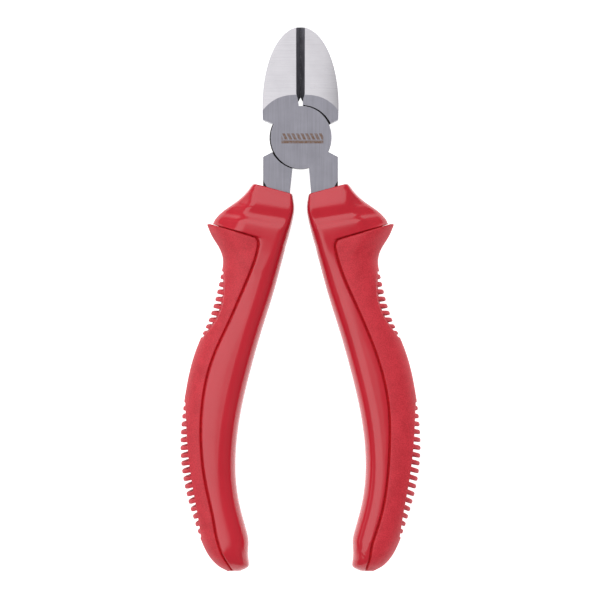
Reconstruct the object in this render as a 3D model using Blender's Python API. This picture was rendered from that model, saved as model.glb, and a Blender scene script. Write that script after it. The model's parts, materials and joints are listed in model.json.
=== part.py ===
"""Diagonal cutting pliers, 160 mm: two crossed levers that turn on one concealed rivet.

The drawing is in millimetres with the rivet's axis at the origin, the jaws towards +Y and
the levers' shared middle plane at Z = 0. MM turns it into metres. Both levers are the same
forging with the same handle: the rear lever is the front one turned over about the long axis.
The pliers lie on their handles, so the part's origin is under the middle of the whole tool.
"""
import math
from collections import namedtuple

import bmesh
import bpy
import numpy as np

MM = 0.001

# Overall
LENGTH = 160.0                  # jaw tips to handle ends
TIP_Y = 32.55                   # rivet axis to jaw tips
GRIP_HALF = 7.0                 # half the handles' thickness
HEAD_HALF = 5.0                 # half the joint's thickness
TOUCH_GAP = 0.3                 # between pieces that touch or are moulded on each other
CLEAR = 9.0                     # half height of cutting tools, above every surface
SLIVER = 0.004                  # points nearer than this after a cut are the same point

# Jaws
JAW_HALF_WIDTH = 11.2
JAW_WIDEST_Y = 9.0
JAW_CURVE = 2.05                # exponent of the jaw outline's superellipse
JAW_STEPS = 17
JAW_TIP_TURN = 89.6             # the outline starts this many degrees round, beside the tip
JAW_ROOT = (11.1, 5.2)          # outer corner of the jaw's shoulder
EDGE_GAP = 0.05                 # each cutting edge to the middle line
EDGE_LAND = 0.03                # half height of the blunt strip along a cutting edge
BEVEL_HALF_WIDTH = 1.25
BEVEL_DEPTH = 1.6
BEVEL_PLAN = ((10.7, 0.75), (11.4, 0.8), (12.9, 1.25), (34.0, 1.3))     # rows: y, half width
BEVEL_OVERLAP = 0.6             # the bevel's cut runs this far past the middle line
FACE_SLOPE = 0.15               # fall of the jaw faces towards the tips
FACE_START_Y = 12.5             # where the slope starts on the middle line
FACE_CROWN = 0.0005             # the faces also fall away to the sides, with the cube of x
RELIEF_HALF_WIDTH = 0.7         # hole behind the cutting edges
RELIEF_TOP_Y = 10.6
RELIEF_TIP_Y = 11.85
FACE_CUT_HALF_WIDTH = 14.0
FACE_STRIPS = 16

# Lap joint
DISC_RADIUS = 9.15
RECESS_RADIUS = 9.45
LAP_GAP = 0.05                  # each lap face to the middle plane
RIVET_RADIUS = 3.0
RIVET_HEAD_RADIUS = 4.5
RIVET_HEAD_DEPTH = 1.6
RIVET_TOP_Z = 3.5               # the rivet is blind in the front forging
RIVET_CLEARANCE = 0.05
RIVET_HEAD_LAND = 0.4           # straight part of the head under the back face
ROUND_STEPS = 48
DISC_STEPS = 18                 # along each of a forging's two arcs

# Shank, between the joint and the handle, from x inner to x outer
SHANK_INNER_TOP = (2.35, -8.75)
SHANK_INNER_LOW = (3.05, -15.45)
SHANK_OUTER_X = 11.0
SHANK_SHOULDER_Y = -5.7
SHANK_CHAMFER_Y = -12.85
SHANK_NECK_X = 10.25
SHANK_NECK_Y = -14.45
SHANK_END_Y = -17.0
MOUTH_TOP_Y = -10.0             # above the handle's open end
MOUTH_GAP = 0.2                 # round the shank where the handle's mouth holds it

# Tang, the forging's blade inside the handle
TANG_STATIONS = (16.6, 19.0, 23.0, 28.0, 34.0, 42.0, 52.0, 64.0, 78.0, 92.0, 104.0)
TANG_INSET = ((16.6, 4.4), (28.0, 5.6), (52.0, 6.6), (104.0, 6.6))
TANG_WIDTH = ((16.6, 5.6), (104.0, 4.0))
TANG_HALF = 2.8
POCKET_GAP = 0.3

# Handle rails. Both are read at "drop", the distance of the inner rail's point below the rivet.
# Rows: drop, inner x, outer x, outer y.
CORE_ROWS = (
    (16.6, 2.35, 14.15, -13.4),
    (19.2, 1.90, 16.1, -16.15),
    (21.1, 1.80, 18.35, -18.3),
    (23.15, 2.07, 20.9, -20.15),
    (25.65, 2.62, 23.4, -22.05),
    (28.7, 3.38, 25.2, -24.05),
    (31.35, 4.17, 25.8, -25.35),
)
PAD_ROWS = (
    (31.75, 4.27, 27.6, -25.75),
    (33.8, 4.76, 26.1, -28.55),
    (36.05, 5.35, 24.4, -31.45),
    (44.65, 7.65, 23.4, -39.95),
    (56.45, 11.33, 26.6, -51.85),
    (68.25, 14.66, 31.3, -63.75),
    (80.05, 17.43, 34.2, -77.05),
    (91.75, 18.96, 35.35, -91.25),
    (100.65, 18.95, 34, -102.45),
    (109.45, 17.55, 31.1, -112.95),
    (118.25, 15.60, 27.9, -121.35),
    (122.15, 15.20, 26.3, -123.85),
    (125.05, 15.50, 24.9, -125.35),
    (126.65, 16.50, 23.2, -126.55),
    (127.45, 18.40, 21.4, -127.45),
)
GUARD_DROP = 31.35              # the moulded line across the thumb guard

# Handle section, by drop: half thickness, then width and fullness of the rounded edges
HALF_THICKNESS = ((16.6, 6.1), (21.2, 6.5), (24.4, 6.0), (27.6, GRIP_HALF))
INNER_ROLL = ((16.6, 0.9), (20.7, 1.5), (29.7, 3.5), (44.7, 5.0), (117.7, 5.2), (127.45, 3.0))
OUTER_ROLL = ((16.6, 2.0), (18.3, 3.2), (20.8, 5.2), (24.3, 8.0), (30.7, 11.0), (44.7, 10.5),
              (117.7, 10.5), (127.45, 4.0))
INNER_FULLNESS = ((16.6, 3.2), (29.7, 2.4), (44.7, 2.2), (127.45, 2.2))
OUTER_FULLNESS = ((16.6, 2.6), (20.7, 2.0), (29.7, 2.2), (127.45, 2.2))
MAX_INNER_ROLL = 0.45           # of the section's width
CREST = 0.4                     # least width left between the two rolls
END_ROUNDING = 9.8              # length over which the handle's end is rounded
END_BLUNT = 0.1                 # length left off that rounding

# Soft pad: where its edges cross the section, from the inner rail, front and back
FRONT_SEAM = ((30.7, 0.25), (39.95, 0.331), (44.65, 0.373), (56.45, 0.476), (68.25, 0.505),
              (80.05, 0.50), (91.75, 0.435), (100.65, 0.427), (109.45, 0.46), (127.45, 0.45))
BACK_SEAM = ((30.7, 0.32), (39.95, 0.468), (44.65, 0.52), (56.45, 0.62), (68.25, 0.68),
             (80.05, 0.68), (91.75, 0.622), (100.65, 0.594), (118.25, 0.574), (127.45, 0.50))
PAD_THICKNESS = 2.0
PAD_WEB = 4.4                   # thickness of the pad's outer edge, which the ribs are cut in
SPINE_END_DROP = 120.0          # the core's spine under the pad tapers out from here
SPINE_TAPER = 4.0
SPINE_MIN_REACH = 0.8           # the spine always runs this far past the seams
SPINE_MIN_HALF = 0.7
GUARD_STEP = 0.05               # length of the step from the guard down to the spine
PAD_STATIONS = (33.0, 36.4, 41.0, 46.0, 52.0, 58.0, 64.0, 70.0, 76.0, 82.0, 88.0, 94.0, 100.0,
                106.0, 112.0, 117.8, 121.7, 124.7, 126.7, 127.45)
CORE_STATIONS = (16.6, 18.0, 19.6, 21.2, 22.8, 24.4, 26.0, 27.6, 31.35)

# Ribs, left standing between slots in the pad's outer edge
RibGroup = namedtuple("RibGroup", "first_y pitch slots width depth")
RIB_GROUPS = (RibGroup(-39.55, 2.06, 10, 0.9, 2.8), RibGroup(-78.25, 2.28, 18, 1.2, 2.5))
SLOT_TILT = 0.06                # the slots lean back as they cross the handle's thickness
SLOT_FADE = 0.7                 # how quickly the slots deepen from the ends of a group
SLOT_OVERCUT = 4.0              # past the handle's outer edge
SLOT_RAIL = (32.0, 124.0, 120)  # drops between which the outer rail is read, and readings

Section = namedtuple(
    "Section", "inner direction width height inner_roll outer_roll inner_fullness outer_fullness")


# Curves -------------------------------------------------------------------------------------

def smooth(table, at):
    """Natural cubic spline through a table of (place, value), read at one place."""
    x, y = (np.array(column, dtype=float) for column in zip(*table))
    at = min(max(at, x[0]), x[-1])
    step = np.diff(x)
    system = np.eye(len(x))
    slopes = np.zeros(len(x))
    for i in range(1, len(x) - 1):
        system[i, i - 1:i + 2] = step[i - 1], 2.0 * (step[i - 1] + step[i]), step[i]
        slopes[i] = 6.0 * ((y[i + 1] - y[i]) / step[i] - (y[i] - y[i - 1]) / step[i - 1])
    bend = np.linalg.solve(system, slopes)
    i = min(int(np.searchsorted(x, at, side="right")) - 1, len(x) - 2)
    left, right = x[i + 1] - at, at - x[i]
    return float((bend[i] * left ** 3 + bend[i + 1] * right ** 3) / (6.0 * step[i])
                 + (y[i] / step[i] - bend[i] * step[i] / 6.0) * left
                 + (y[i + 1] / step[i] - bend[i + 1] * step[i] / 6.0) * right)


def eased(table, at):
    """Reads a table of (place, value) with soft steps that never overshoot its values."""
    places, values = zip(*table)
    at = min(max(at, places[0]), places[-1])
    i = min(int(np.searchsorted(places, at, side="right")) - 1, len(places) - 2)
    t = (at - places[i]) / (places[i + 1] - places[i])
    return values[i] + (values[i + 1] - values[i]) * t * t * (3.0 - 2.0 * t)


def edge_roll(distance, fullness):
    """Height of a rounded edge, 0 to 1, where distance runs from 0 at the edge to 1."""
    distance = min(max(distance, 0.0), 1.0)
    return (1.0 - (1.0 - distance) ** fullness) ** (1.0 / fullness)


def arc(radius, start, stop, steps):
    """Points on a circle about the rivet, with angles in degrees."""
    return [(radius * math.cos(math.radians(a)), radius * math.sin(math.radians(a)))
            for a in np.linspace(start, stop, steps + 1)]


# Meshes -------------------------------------------------------------------------------------

def mesh_object(name, points, faces):
    """An object from millimetre points, triangulated, with its faces pointing out."""
    mesh = bpy.data.meshes.new(name)
    mesh.from_pydata([tuple(MM * c for c in point) for point in points], [], faces)
    shape = bmesh.new()
    shape.from_mesh(mesh)
    bmesh.ops.triangulate(shape, faces=shape.faces)
    bmesh.ops.recalc_face_normals(shape, faces=shape.faces)
    shape.to_mesh(mesh)
    shape.free()
    piece = bpy.data.objects.new(name, mesh)
    bpy.context.collection.objects.link(piece)
    return piece


def loft(name, rings):
    """A closed solid through rings of equal numbers of points."""
    count = len(rings[0])
    points = [point for ring in rings for point in ring]
    faces = [tuple(range(count)), tuple(range(len(points) - count, len(points)))]
    for row in range(len(rings) - 1):
        for i in range(count):
            j = (i + 1) % count
            low, high = row * count, (row + 1) * count
            faces.append((low + i, low + j, high + j, high + i))
    return mesh_object(name, points, faces)


def prism(name, outline, low, high):
    return loft(name, [[(x, y, z) for x, y in outline] for z in (low, high)])


def turned(name, profile):
    """A solid of revolution about the rivet's axis through (radius, z) points."""
    turns = [arc(radius, 0.0, 360.0, ROUND_STEPS)[:-1] for radius, _ in profile]
    return loft(name, [[(x, y, z) for x, y in turn] for turn, (_, z) in zip(turns, profile)])


def combine(target, tools, operation):
    """Joins tools to the target, or cuts them from it, and drops them."""
    for tool in tools:
        tool.hide_render = True
        tool.display_type = "WIRE"
        modifier = target.modifiers.new(tool.name, "BOOLEAN")
        modifier.operation = operation
        modifier.solver = "EXACT"
        modifier.object = tool
    evaluated = target.evaluated_get(bpy.context.evaluated_depsgraph_get())
    mesh = bpy.data.meshes.new_from_object(evaluated)
    shape = bmesh.new()
    shape.from_mesh(mesh)
    bmesh.ops.remove_doubles(shape, verts=shape.verts, dist=MM * SLIVER)
    shape.to_mesh(mesh)
    shape.free()
    target.modifiers.clear()
    target.data = mesh
    for tool in tools:
        bpy.data.objects.remove(tool)
    return target


def turn_over(points):
    """The same points on the other side of the middle plane, with the jaw side kept."""
    return [(x, y, -z) for x, y, z in points]


# Handle geometry ----------------------------------------------------------------------------

def section_at(drop, rows):
    """The handle's cross-section at one drop, between the inner rail and a table's outer rail."""
    inner = np.array((smooth([(r[0], r[1]) for r in rows], drop), -drop))
    outer = np.array([smooth([(r[0], r[column]) for r in rows], drop) for column in (2, 3)])
    across = outer - inner
    width = float(np.hypot(*across))
    to_end = (LENGTH - TIP_Y - drop + END_BLUNT) / END_ROUNDING
    fullness = eased(INNER_FULLNESS, drop)
    inner_roll = min(eased(INNER_ROLL, drop), MAX_INNER_ROLL * width)
    return Section(
        inner, across / width, width,
        eased(HALF_THICKNESS, drop) * edge_roll(to_end, fullness),
        inner_roll,
        min(eased(OUTER_ROLL, drop), width - inner_roll - CREST),
        fullness,
        eased(OUTER_FULLNESS, drop))


def surface_height(section, s):
    """Half thickness of the section at s from its inner rail."""
    inner = edge_roll(s / section.inner_roll, section.inner_fullness)
    outer = edge_roll((section.width - s) / section.outer_roll, section.outer_fullness)
    return section.height * inner * outer


def place(section, turn):
    """Distance from the inner rail at a turn: 0 to 1 inner roll, to 2 flat, to 3 outer roll."""
    if turn < 1.0:
        power = 2 / section.inner_fullness
        return section.inner_roll * (1.0 - math.cos(turn * math.pi / 2) ** power)
    if turn <= 2.0:
        flat = section.width - section.inner_roll - section.outer_roll
        return section.inner_roll + (turn - 1.0) * flat
    rest = max(math.cos((3.0 - turn) * math.pi / 2), 0.0)
    return section.width - section.outer_roll * (1.0 - rest ** (2 / section.outer_fullness))


def turn_at(section, s):
    """The turn at which place() gives s."""
    if s < section.inner_roll:
        rest = (1.0 - s / section.inner_roll) ** (section.inner_fullness / 2)
        return math.acos(rest) * 2 / math.pi
    if s <= section.width - section.outer_roll:
        flat = section.width - section.inner_roll - section.outer_roll
        return 1.0 + (s - section.inner_roll) / flat
    rest = (1.0 - (section.width - s) / section.outer_roll) ** (section.outer_fullness / 2)
    return 3.0 - math.acos(rest) * 2 / math.pi


def at(section, s, z):
    x, y = section.inner + section.direction * s
    return (float(x), float(y), float(z))


def surface(section, start, stop, count, side):
    """Points on the front (side 1) or back (side -1) surface between two places across it."""
    points = []
    for turn in np.linspace(turn_at(section, start), turn_at(section, stop), count):
        s = place(section, turn)
        points.append(at(section, s, side * surface_height(section, s)))
    return points


def seams(section, drop):
    return (smooth(FRONT_SEAM, drop) * section.width, smooth(BACK_SEAM, drop) * section.width)


def spine(section, drop, gap, steps):
    """Outline under the pad, from the front seam out and round to the back seam.

    With a gap of 0 it is the pad's inner face, and with the gap it is the core's spine.
    """
    front, back = (seam + (TOUCH_GAP / 2 if gap == 0.0 else -TOUCH_GAP / 2)
                   for seam in seams(section, drop))
    reach = section.width - PAD_WEB
    taper = min(max((drop - SPINE_END_DROP) / SPINE_TAPER, 0.0), 1.0)
    furthest = max(front, back)
    reach = max(reach + (furthest - reach) * taper, furthest + SPINE_MIN_REACH)
    rows = []
    for seam, side in ((front, 1), (back, -1)):
        row = []
        for s in np.linspace(seam, reach - gap, steps):
            z = max(surface_height(section, s) - PAD_THICKNESS, SPINE_MIN_HALF) - gap
            row.append(at(section, s, side * z))
        rows.append(row)
    return rows[0] + [at(section, reach - gap, 0.0)] + rows[1][::-1]


# Pieces -------------------------------------------------------------------------------------

def jaw_outline():
    """The jaw's outer edge, from the tip down to its shoulder, on the side of the front lever."""
    power = 2.0 / JAW_CURVE
    points = []
    for a in np.linspace(JAW_TIP_TURN, 180.0, JAW_STEPS):
        x = -JAW_HALF_WIDTH * abs(math.cos(math.radians(a))) ** power
        y = JAW_WIDEST_Y + (TIP_Y - JAW_WIDEST_Y) * max(math.sin(math.radians(a)), 0.0) ** power
        points.append((min(x, -EDGE_GAP), y))
    points[0] = (-EDGE_GAP, TIP_Y)
    return points + [(-JAW_ROOT[0], JAW_ROOT[1])]


def forging_outline():
    """Plan of a whole forging without its tang: jaw, disc and shank."""
    jaw_shoulder = math.degrees(math.atan2(JAW_ROOT[1], -JAW_ROOT[0]))
    shank_shoulder = math.degrees(math.atan2(SHANK_SHOULDER_Y, SHANK_OUTER_X))
    shank_inner = 360.0 + math.degrees(math.atan2(SHANK_INNER_TOP[1], SHANK_INNER_TOP[0]))
    relief = 90.0 + math.degrees(math.asin(RELIEF_HALF_WIDTH / DISC_RADIUS))
    outline = jaw_outline()
    outline += arc(DISC_RADIUS, jaw_shoulder, shank_inner, DISC_STEPS)
    outline += [
        SHANK_INNER_LOW,
        (SHANK_INNER_LOW[0], SHANK_END_Y),
        (SHANK_NECK_X, SHANK_END_Y),
        (SHANK_NECK_X, SHANK_NECK_Y),
        (SHANK_OUTER_X, SHANK_CHAMFER_Y),
        (SHANK_OUTER_X, SHANK_SHOULDER_Y),
    ]
    outline += arc(DISC_RADIUS, shank_shoulder, relief, DISC_STEPS)
    outline += [(-RELIEF_HALF_WIDTH, RELIEF_TOP_Y), (-EDGE_GAP, RELIEF_TIP_Y)]
    return outline


def face_cutter():
    """What is missing above the front faces of the jaws, which fall away to tips and sides."""
    rings = []
    for x in np.linspace(-FACE_CUT_HALF_WIDTH, FACE_CUT_HALF_WIDTH, FACE_STRIPS + 1):
        level = HEAD_HALF - FACE_CROWN * abs(x) ** 3
        low_y, high_y = 0.0, 2 * TIP_Y - FACE_START_Y
        rings.append([
            (x, low_y, level + (FACE_START_Y - low_y) * FACE_SLOPE),
            (x, high_y, level + (FACE_START_Y - high_y) * FACE_SLOPE),
            (x, high_y, CLEAR),
            (x, low_y, CLEAR),
        ])
    return rings


def bevel_cutter():
    """What is missing above the front lever's cutting edge."""
    slope = BEVEL_DEPTH / BEVEL_HALF_WIDTH
    rings = []
    for y, width in BEVEL_PLAN:
        rings.append([
            (BEVEL_OVERLAP, y, EDGE_LAND - slope * (BEVEL_OVERLAP + EDGE_GAP)),
            (-width, y, EDGE_LAND + slope * (width - EDGE_GAP)),
            (-width, y, CLEAR),
            (BEVEL_OVERLAP, y, CLEAR),
        ])
    return rings


def tang_rings(growth):
    """Cross-sections of the tang, or of the pocket that holds it when growth isn't 0."""
    rings = []
    for drop in TANG_STATIONS:
        section = section_at(drop, CORE_ROWS if drop <= GUARD_DROP else PAD_ROWS)
        middle = eased(TANG_INSET, drop)
        half = eased(TANG_WIDTH, drop) / 2 + growth
        high = TANG_HALF + growth
        rings.append([at(section, middle + sx * half, sz * high)
                      for sx, sz in ((-1, -1), (1, -1), (1, 1), (-1, 1))])
    if growth:
        end = section_at(TANG_STATIONS[-1] + growth, PAD_ROWS)
        step = end.inner - section_at(TANG_STATIONS[-1], PAD_ROWS).inner
        rings[-1] = [(x + step[0], y + step[1], z) for x, y, z in rings[-1]]
    return rings


def forging(name, blind):
    """One lever's forging. The front one has the rivet's blind hole, the rear one the head's."""
    body = prism(name, forging_outline(), -HEAD_HALF, HEAD_HALF)
    tools = [turned("lap_recess", ((RECESS_RADIUS, -CLEAR), (RECESS_RADIUS, LAP_GAP)))]
    for side in (1, -1):
        for label, rings in (("face", face_cutter()), ("bevel", bevel_cutter())):
            if side < 0:
                rings = [turn_over(ring) for ring in rings]
            tools.append(loft(f"{label}_cutter_{side}", rings))
    bore = RIVET_RADIUS + RIVET_CLEARANCE
    if blind:
        profile = ((bore, -HEAD_HALF), (bore, RIVET_TOP_Z + RIVET_CLEARANCE))
    else:
        head = RIVET_HEAD_RADIUS + RIVET_CLEARANCE
        head_z = HEAD_HALF - RIVET_HEAD_DEPTH - RIVET_CLEARANCE
        land_z = HEAD_HALF - RIVET_HEAD_LAND
        profile = ((bore, -HEAD_HALF), (bore, head_z), (head, land_z), (head, CLEAR))
    tools.append(turned("rivet_bore", profile))
    combine(body, tools, "DIFFERENCE")
    return combine(body, [loft("tang", tang_rings(0.0))], "UNION")


def rivet():
    """The rivet in the front lever's frame: head flush with the back, end blind in the front."""
    profile = (
        (RIVET_HEAD_RADIUS, -HEAD_HALF),
        (RIVET_HEAD_RADIUS, -HEAD_HALF + RIVET_HEAD_LAND),
        (RIVET_RADIUS, -HEAD_HALF + RIVET_HEAD_DEPTH),
        (RIVET_RADIUS, RIVET_TOP_Z),
    )
    return turned("pivot_rivet", profile)


def grip_core():
    """The hard handle: full above the guard line, and a side with a spine below it."""
    shown, hidden = 6, 5
    rings = []
    for drop in CORE_STATIONS:
        section = section_at(drop, CORE_ROWS)
        front, back = seams(section, GUARD_DROP)
        ring = surface(section, front, 0.0, shown, 1) + surface(section, 0.0, back, shown, -1)[1:]
        ring += surface(section, back, section.width, hidden + 2, -1)[1:]
        ring += surface(section, section.width, front, hidden + 2, 1)[1:-1]
        rings.append(ring)
    for drop in (GUARD_DROP + GUARD_STEP,) + PAD_STATIONS:
        section = section_at(max(drop, PAD_ROWS[0][0]), PAD_ROWS)
        if drop < PAD_ROWS[0][0]:
            section = section._replace(inner=section_at(drop, CORE_ROWS).inner)
        front, back = (seam - TOUCH_GAP / 2 for seam in seams(section, drop))
        ring = surface(section, front, 0.0, shown, 1) + surface(section, 0.0, back, shown, -1)[1:]
        rings.append(ring + spine(section, drop, TOUCH_GAP, hidden)[::-1])
    core = loft("right_grip_core", rings)
    inner_x, outer_x = SHANK_INNER_LOW[0] - POCKET_GAP, SHANK_OUTER_X + MOUTH_GAP
    bottom_y = SHANK_END_Y - POCKET_GAP
    mouth = [(inner_x, MOUTH_TOP_Y), (outer_x, MOUTH_TOP_Y), (outer_x, bottom_y),
             (inner_x, bottom_y)]
    tools = [prism("mouth_cutter", mouth, -HEAD_HALF - MOUTH_GAP, HEAD_HALF + MOUTH_GAP),
             loft("tang_pocket", tang_rings(POCKET_GAP))]
    return combine(core, tools, "DIFFERENCE")


def slot_cutter():
    """All the slots between the ribs, as one set of leaning slabs."""
    rail = [section_at(drop, PAD_ROWS) for drop in np.linspace(*SLOT_RAIL)]
    outer = sorted(((s.inner + s.direction * s.width)[1], (s.inner + s.direction * s.width)[0])
                   for s in rail)
    ys, xs = zip(*outer)
    points, faces = [], []
    for group in RIB_GROUPS:
        for index in range(group.slots):
            y = group.first_y - index * group.pitch
            depth = group.depth * math.sin(math.pi * (index + 0.5) / group.slots) ** SLOT_FADE
            x = float(np.interp(y, ys, xs))
            first = len(points)
            for z in (-CLEAR, CLEAR):
                for sx, sy in ((-depth, -1), (SLOT_OVERCUT, -1), (SLOT_OVERCUT, 1), (-depth, 1)):
                    points.append((x + sx, y + sy * group.width / 2 + SLOT_TILT * z, z))
            faces += [tuple(first + i for i in face) for face in (
                (0, 1, 2, 3), (4, 5, 6, 7), (0, 1, 5, 4), (1, 2, 6, 5), (2, 3, 7, 6), (3, 0, 4, 7))]
    return mesh_object("rib_slots", points, faces)


def grip_pad():
    """The soft pad: a C-shaped strip round the handle's outer side, with ribs cut in its edge."""
    shown, hidden = 8, 5
    rings = []
    for drop in (PAD_ROWS[0][0],) + PAD_STATIONS:
        section = section_at(drop, PAD_ROWS)
        front, back = (seam + TOUCH_GAP / 2 for seam in seams(section, drop))
        ring = surface(section, back, section.width, shown, -1)
        ring += surface(section, section.width, front, shown, 1)[1:]
        rings.append(ring + spine(section, drop, 0.0, hidden))
    return combine(loft("right_grip_pad", rings), [slot_cutter()], "DIFFERENCE")


# Materials and assembly ---------------------------------------------------------------------

def material(name, colour, roughness, metallic):
    made = bpy.data.materials.new(name)
    made.use_nodes = True
    shader = made.node_tree.nodes["Principled BSDF"]
    shader.inputs["Base Color"].default_value = (*colour, 1.0)
    shader.inputs["Roughness"].default_value = roughness
    shader.inputs["Metallic"].default_value = metallic
    return made


def lever_axis(name):
    """An empty on the joint's axis, which the lever's pieces hang on."""
    axis = bpy.data.objects.new(name, None)
    axis.location = (0.0, MM * (LENGTH / 2 - TIP_Y), MM * GRIP_HALF)
    bpy.context.collection.objects.link(axis)
    return axis


def finish(piece, axis, finish_material):
    piece.parent = axis
    piece.data.materials.clear()
    piece.data.materials.append(finish_material)
    piece.data.shade_smooth()
    piece.data.set_sharp_from_angle(angle=math.radians(30.0))


def turned_over_copy(piece, name, axis):
    """The same piece on the rear lever, turned over about the long axis."""
    copy = bpy.data.objects.new(name, piece.data)
    copy.parent = axis
    copy.rotation_euler = (0.0, math.pi, 0.0)
    bpy.context.collection.objects.link(copy)
    return copy


def build():
    for old in list(bpy.data.objects):
        bpy.data.objects.remove(old)
    front_axis = lever_axis("front_lever_axis")
    rear_axis = lever_axis("rear_lever_axis")
    steel = material("ground_steel", (0.42, 0.42, 0.45), 0.38, 1.0)
    hard_red = material("glossy_red_plastic", (0.50, 0.03, 0.05), 0.25, 0.0)
    soft_red = material("matt_red_rubber", (0.45, 0.03, 0.045), 0.75, 0.0)

    finish(forging("front_forging", True), front_axis, steel)
    rear = forging("rear_forging", False)
    finish(rear, rear_axis, steel)
    rear.rotation_euler = (0.0, math.pi, 0.0)
    finish(rivet(), front_axis, steel)
    core = grip_core()
    finish(core, front_axis, hard_red)
    turned_over_copy(core, "left_grip_core", rear_axis)
    pad = grip_pad()
    finish(pad, front_axis, soft_red)
    turned_over_copy(pad, "left_grip_pad", rear_axis)


build()
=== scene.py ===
"""Looks of the diagonal cutting pliers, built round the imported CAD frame.

Shapes are drawn in millimetres from the rivet's axis, as the right-hand (front) lever lies, and
the rear lever's pieces are the same drawing turned over about the long axis. Sizes that the frame
holds are read from it.
"""
import json
import math
from collections import namedtuple

import bmesh
import bpy
import numpy as np
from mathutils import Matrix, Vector

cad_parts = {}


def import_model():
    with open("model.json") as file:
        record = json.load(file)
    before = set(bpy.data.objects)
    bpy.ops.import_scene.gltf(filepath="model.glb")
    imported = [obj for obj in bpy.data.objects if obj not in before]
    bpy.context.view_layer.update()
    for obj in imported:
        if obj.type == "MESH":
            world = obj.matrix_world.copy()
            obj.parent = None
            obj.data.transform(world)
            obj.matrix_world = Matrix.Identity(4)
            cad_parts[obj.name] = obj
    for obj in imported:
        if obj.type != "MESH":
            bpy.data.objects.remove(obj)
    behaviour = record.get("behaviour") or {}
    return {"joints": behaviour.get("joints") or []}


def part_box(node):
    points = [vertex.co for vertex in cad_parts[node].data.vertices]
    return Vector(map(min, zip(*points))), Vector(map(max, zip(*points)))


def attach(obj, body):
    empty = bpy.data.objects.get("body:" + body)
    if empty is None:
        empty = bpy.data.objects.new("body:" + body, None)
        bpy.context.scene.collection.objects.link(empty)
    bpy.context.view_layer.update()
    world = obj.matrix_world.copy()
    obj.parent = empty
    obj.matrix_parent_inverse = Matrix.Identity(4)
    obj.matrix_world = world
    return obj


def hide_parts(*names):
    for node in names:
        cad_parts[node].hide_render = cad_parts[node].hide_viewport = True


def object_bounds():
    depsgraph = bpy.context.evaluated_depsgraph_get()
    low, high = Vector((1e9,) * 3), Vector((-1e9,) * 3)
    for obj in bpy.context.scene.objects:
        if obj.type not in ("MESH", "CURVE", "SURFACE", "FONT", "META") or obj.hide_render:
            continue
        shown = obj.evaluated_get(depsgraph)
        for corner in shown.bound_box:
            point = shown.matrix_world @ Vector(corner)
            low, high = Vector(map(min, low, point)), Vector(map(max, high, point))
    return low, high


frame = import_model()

cad_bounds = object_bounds()

MM = 0.001
PIVOT = Vector(frame["joints"][0]["pos_m"])
HANDLE_HALF = (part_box("right_grip_core")[1][2] - PIVOT.z) / MM
HEAD_HALF = (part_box("front_forging")[1][2] - PIVOT.z) / MM
TIP_Y = (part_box("front_forging")[1][1] - PIVOT.y) / MM
END_DROP = (PIVOT.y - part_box("right_grip_pad")[0][1]) / MM

# Handle rails: drop below the rivet, inner x, outer x, outer y
CORE_ROWS = (
    (16.6, 2.35, 14.15, -13.4),
    (19.2, 1.90, 16.1, -16.15),
    (21.1, 1.80, 18.35, -18.3),
    (23.15, 2.07, 20.9, -20.15),
    (25.65, 2.62, 23.4, -22.05),
    (28.7, 3.38, 25.2, -24.05),
    (31.7, 4.26, 25.8, -25.4),
)
PAD_ROWS = (
    (32.05, 4.35, 27.65, -25.05),
    (34.0, 4.80, 26.2, -28.55),
    (36.05, 5.35, 24.4, -31.45),
    (44.65, 7.65, 23.4, -39.95),
    (56.45, 11.33, 26.6, -51.85),
    (68.25, 14.66, 31.3, -63.75),
    (80.05, 17.43, 34.2, -77.05),
    (91.75, 18.96, 35.35, -91.25),
    (100.65, 18.95, 34, -102.45),
    (109.45, 17.55, 31.1, -112.95),
    (115.80, 15.80, 28.95, -119.1),
    (118.25, 15.30, 27.9, -121.35),
    (122.15, 15.40, 26.3, -123.85),
    (125.05, 15.15, 24.9, -125.35),
    (126.65, 15.85, 23.2, -126.55),
    (127.45, 17.60, 21.4, -127.45),
)
MOUTH_DROP = CORE_ROWS[0][0]
MOUTH_FILLET = 0.35
# Handle section, by drop: half thickness, then width and fullness of the rounded edges
HALF_THICKNESS = ((16.6, 6.1), (21.2, 6.5), (24.4, 6.0), (27.4, HANDLE_HALF),
                  (36.0, HANDLE_HALF - 0.42), (60.0, HANDLE_HALF))
INNER_ROLL = ((16.6, 0.9), (20.7, 1.5), (29.7, 3.5), (44.7, 5.0), (117.7, 5.2), (127.45, 3.0))
OUTER_ROLL = ((16.6, 0.7), (18.3, 0.8), (22.5, 1.2), (29.5, 1.6), (36.0, 7.5), (44.7, 10.5),
              (117.7, 10.5), (127.45, 4.0))
INNER_FULLNESS = ((16.6, 3.2), (29.7, 2.4), (44.7, 2.2), (127.45, 2.2))
OUTER_FULLNESS = ((16.6, 2.2), (127.45, 2.2))
# Slope that falls from the guard's plateau to its outer edge, by drop: width, share of height lost
SHOULDER_WIDTH = ((16.6, 1.3), (18.3, 1.9), (22.5, 5.0), (26.0, 7.0), (29.5, 7.6), (40.0, 9.0))
SHOULDER_FALL = ((16.6, 0.15), (18.3, 0.24), (22.5, 0.66), (26.0, 0.78), (29.5, 0.76), (33.0, 0.5),
                 (42.0, 0.0))
SHOULDER_SOFT = 0.2             # how softly the slope begins
MAX_INNER_ROLL = 0.45           # of the section's width
CREST = 0.4                     # least width left between the two rolls
END_ROUNDING = 9.8              # length over which the handle's end is rounded
PLAIN_END_DROP = 122.0          # evenly spaced rings stop here, and the end's own begin
END_STATIONS = [END_DROP - d for d in (4.5, 3.8, 3.1, 2.4, 1.8, 1.3, 0.9, 0.6, 0.35, 0.15, 0.04, 0.0)]

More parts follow.
